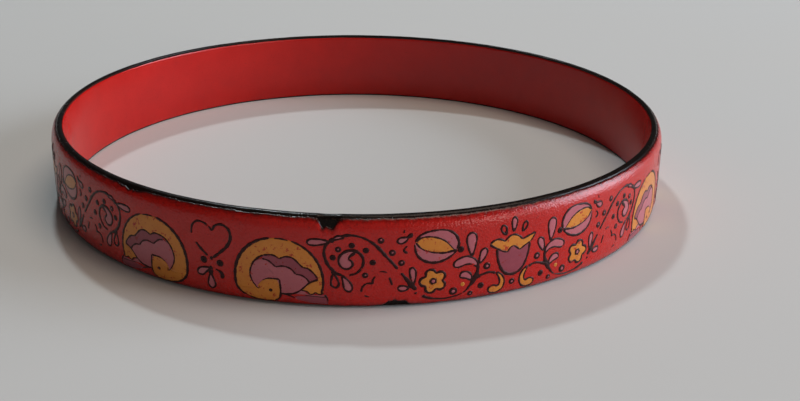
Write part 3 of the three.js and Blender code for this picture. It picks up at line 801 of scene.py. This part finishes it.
vine_line = outlines(vine_leaves) + [
    stroke([(-16.0, 3.35), (-16.55, 3.65), (-17.15, 4.3), (-17.5, 5.3), (-17.4, 6.1), (-17.0, 6.6)],
           [0.2, 0.3, 0.34, 0.3, 0.26, 0.3]),
    stroke([(-16.9, 6.78), (-16.3, 6.8), (-15.95, 7.0)], [0.18, 0.1, 0.16]),
    stroke([(-16.05, 7.1), (-15.6, 7.2), (-15.1, 7.22), (-14.5, 7.12), (-13.9, 6.9), (-13.2, 6.45),
            (-12.6, 5.85), (-12.2, 5.35), (-11.6, 4.65), (-11.0, 3.9)],
           [0.3, 0.3, 0.2, 0.22, 0.26, 0.34, 0.34, 0.26, 0.3, 0.26]),
    stroke([(-10.7, 3.5), (-10.1, 2.7), (-9.6, 2.05), (-9.3, 1.75)], [0.24, 0.34, 0.6, 0.4]),
    stroke([(-9.4, 1.5), (-9.3, 1.3)], 0.34),
    stroke([(-8.75, 1.1), (-8.3, 0.85), (-7.6, 0.66), (-6.6, 0.56), (-5.6, 0.72), (-5.0, 0.9)],
           [0.36, 0.3, 0.2, 0.2, 0.2, 0.16]),
    dot(-12.52, 6.7, 0.32), dot(-11.51, 5.5, 0.33), dot(-10.68, 4.48, 0.32),
    stroke([(-12.63, 3.68), (-12.25, 3.7), (-11.95, 3.58)], [0.1, 0.16, 0.1]),
    stroke([(-11.74, 3.1), (-11.6, 2.7), (-11.48, 2.3)], [0.24, 0.26, 0.14]),
    stroke([(-13.0, 3.25), (-13.22, 2.85), (-13.26, 2.56), (-13.75, 2.54), (-14.12, 2.2), (-14.24, 1.7)],
           [0.14, 0.26, 0.22, 0.16, 0.22, 0.24]),
    stroke([(-13.95, 1.33), (-13.5, 1.18)], [0.2, 0.1]),
]
vine_fill = fills(vine_leaves) + [
    dot(-12.5, 6.78, 0.13, BEAD_TOP), dot(-10.66, 4.53, 0.12, BEAD_TOP), dot(-11.49, 5.53, 0.12, BEAD_TOP)]
for number, tulip in enumerate(TULIPS, 1):
    full = number <= FULL_REPEATS
    for side_name, side in SIDES:
        foliage = f"foliage_{number}_{side_name}"
        lay(foliage + "_line", sprig_line + (vine_line if full else []), black_ink, tulip, -side)
        lay(foliage + "_leaves", sprig_fill + (vine_fill if full else []), mauve_ink, tulip, -side)

# ---- Fruit and blossom: a mauve fruit split open over its ochre seed, with a small sprout at its tip,
# and under it an ochre blossom of five petals. Only the full repeats have them.
skin_over = [(-9.5, 6.45), (-9.15, 6.92), (-8.6, 7.24), (-7.9, 7.38), (-7.1, 7.42), (-6.4, 7.27),
             (-5.85, 6.87), (-5.58, 6.37), (-5.5, 5.9), (-5.66, 5.45)]
skin_under = [(-5.66, 5.35), (-5.97, 5.0), (-6.55, 4.6), (-7.4, 4.34), (-8.15, 4.38), (-8.9, 4.74),
              (-9.36, 5.35), (-9.53, 6.2)]
seed_over = [(-9.44, 6.46), (-8.95, 6.8), (-8.21, 6.86), (-7.47, 6.7), (-6.8, 6.36), (-6.36, 5.93),
             (-5.9, 5.4)]
seed_under = [(-9.44, 6.4), (-9.02, 5.86), (-8.43, 5.5), (-7.62, 5.28), (-6.73, 5.2), (-5.9, 5.36)]
sprout = leaf([(-10.15, 6.85), (-10.55, 6.68), (-11.05, 6.55)], [0.15, 0.44, 0.56, 0.4])
fruit_skin = [between([skin_over], [seed_over]), between([skin_under[::-1]], [seed_under]), sprout[0]]
fruit_seed = [between([seed_over], [seed_under], UPPER_FILL)]
BLOSSOM = (-7.78, 2.48)
blossom_outline = round_outline(*BLOSSOM, 1.24, lobes=5, depth=0.3, turned=math.radians(36), flat=0.96)
blossom_petals = [pad(blossom_outline, FILL_TOP)]
fruit_line = [
    stroke(skin_over, [0.2, 0.26, 0.24, 0.16, 0.28, 0.32, 0.3]),
    stroke(skin_under, [0.2, 0.28, 0.32, 0.32, 0.28, 0.2]),
    stroke(seed_over, [0.3, 0.22, 0.24, 0.2, 0.14]), stroke(seed_under, [0.28, 0.2, 0.22, 0.28, 0.3]),
    sprout[1], stroke([(-10.3, 6.9), (-9.95, 7.05), (-9.75, 7.3)], [0.3, 0.4, 0.34]),
    stroke([(-9.98, 7.0), (-9.72, 6.95)], 0.2), stroke([(-10.5, 7.35), (-10.45, 7.65)], [0.22, 0.12]),
    stroke([(-10.15, 6.1), (-10.4, 5.9), (-10.45, 5.6), (-10.15, 5.4)], [0.14, 0.22, 0.26, 0.2]),
    dot(-5.28, 5.35, 0.33), stroke([(-6.15, 5.3), (-5.85, 5.3), (-5.62, 5.3)], [0.26, 0.44, 0.3]),
    stroke(blossom_outline[::3], 0.28, closed=True),
    dot(*BLOSSOM, 0.36),
]
blossom_eye = [dot(*BLOSSOM, 0.2, BEAD_TOP)]
for number, tulip in enumerate(TULIPS[:FULL_REPEATS], 1):
    for side_name, side in SIDES:
        name = f"fruit_{number}_{side_name}"
        nodes = [f"{part}_{number}_{side_name}" for part in ("fruit_skin", "fruit_seed", "blossom")]
        lay(name + "_skin", fruit_skin + blossom_eye, mauve_ink, tulip, -side, nodes[:1])
        lay(name + "_seed", fruit_seed, ochre_ink, tulip, -side, nodes[1:2])
        lay(name + "_line", fruit_line, black_ink, tulip, -side)
        lay(f"blossom_{number}_{side_name}_petals", blossom_petals, ochre_ink, tulip, -side, nodes[2:])

# ---- Tulips: a plum cup with a toothed rim, an ochre crown standing in it, three sprouts above, and
# on each side an ochre hook curling in under it and a berry. The middle sprout alone is filled.
cup_rim = [[(-1.72, 4.95), (-1.2, 4.6), (-0.65, 4.4)], [(-0.65, 4.4), (-0.35, 4.8), (0.0, 4.95)],
           [(0.0, 4.95), (0.35, 4.7), (0.65, 4.42)], [(0.65, 4.42), (1.2, 4.75), (1.75, 5.0)]]
cup_side = [(-1.72, 4.9), (-1.6, 3.9), (-1.25, 2.9), (-0.75, 2.3), (0.0, 2.08), (0.75, 2.3), (1.25, 2.9),
            (1.6, 3.9), (1.75, 4.95)]
crown_top = [[(-2.42, 5.48), (-2.0, 5.75), (-1.5, 5.8), (-0.92, 5.5)],
             [(-0.92, 5.5), (-0.5, 5.9), (0.0, 6.02), (0.5, 5.8), (0.95, 5.4)],
             [(0.95, 5.4), (1.6, 5.62), (2.3, 5.85)]]
crown_left = [(-2.42, 5.42), (-2.05, 5.15), (-1.72, 4.95)]
crown_right = [(1.75, 5.0), (2.05, 5.35), (2.34, 5.82)]
crown_under = [crown_left] + cup_rim + [crown_right]
hook = [(-2.4, 0.98), (-1.95, 0.84), (-1.5, 0.8), (-1.16, 1.05), (-1.05, 1.5), (-1.2, 2.0), (-1.6, 2.5)]
HOOK_WIDTHS = [0.6, 0.84, 0.66, 0.5, 0.44, 0.34, 0.12]
sprouts = [leaf([(-0.8, 6.15), (-1.05, 6.6), (-1.18, 7.1)], [0.1, 0.42, 0.55, 0.4]),
           leaf([(-0.06, 6.4), (-0.02, 7.0), (0.02, 7.7)], [0.12, 0.42, 0.56, 0.4]),
           leaf([(0.9, 6.2), (1.1, 6.6), (1.25, 7.1)], [0.1, 0.38, 0.5, 0.38])]
hooks = [leaf([(side * u, v) for u, v in hook], HOOK_WIDTHS) for _, side in SIDES]
tulip_line = [
    stroke(cup_side, [0.3, 0.28, 0.34, 0.34, 0.34, 0.28, 0.3]),
    stroke([(-2.45, 5.45), (-2.1, 5.15), (-1.72, 4.93)], [0.3, 0.24, 0.28]),
    stroke([(1.75, 5.0), (2.05, 5.35), (2.36, 5.84)], 0.22),
    dot(0.0, 1.3, 0.33),
    stroke([(-0.95, 6.5), (-0.78, 6.1)], [0.3, 0.24]),
    stroke([(-0.05, 6.7), (-0.06, 6.35)], [0.34, 0.3]),
    stroke([(0.95, 6.5), (0.88, 6.15)], [0.34, 0.26]),
]
tulip_line += [stroke(line, 0.24) for line in cup_rim + crown_top] + outlines(sprouts + hooks)
berries = [dot(side * 5.0, 1.85, 0.22, FILL_TOP) for _, side in SIDES]
for number, axis in enumerate(TULIPS, 1):
    tulip = f"tulip_{number}"
    lay(tulip + "_cup", [between(cup_rim, [cup_side], across=8)], plum_ink, axis,
        replaces=[f"tulip_cup_{number}"])
    lay(tulip + "_crown", [between(crown_top, crown_under, UPPER_FILL)], ochre_ink, axis,
        replaces=[f"tulip_crown_{number}"])
    lay(tulip + "_hooks", fills(hooks) + berries, ochre_ink, axis)
    lay(tulip + "_sprouts", [sprouts[1][0], dot(0.0, 1.3, 0.14, BEAD_TOP)], mauve_ink, axis)
    lay(tulip + "_line", tulip_line, black_ink, axis)
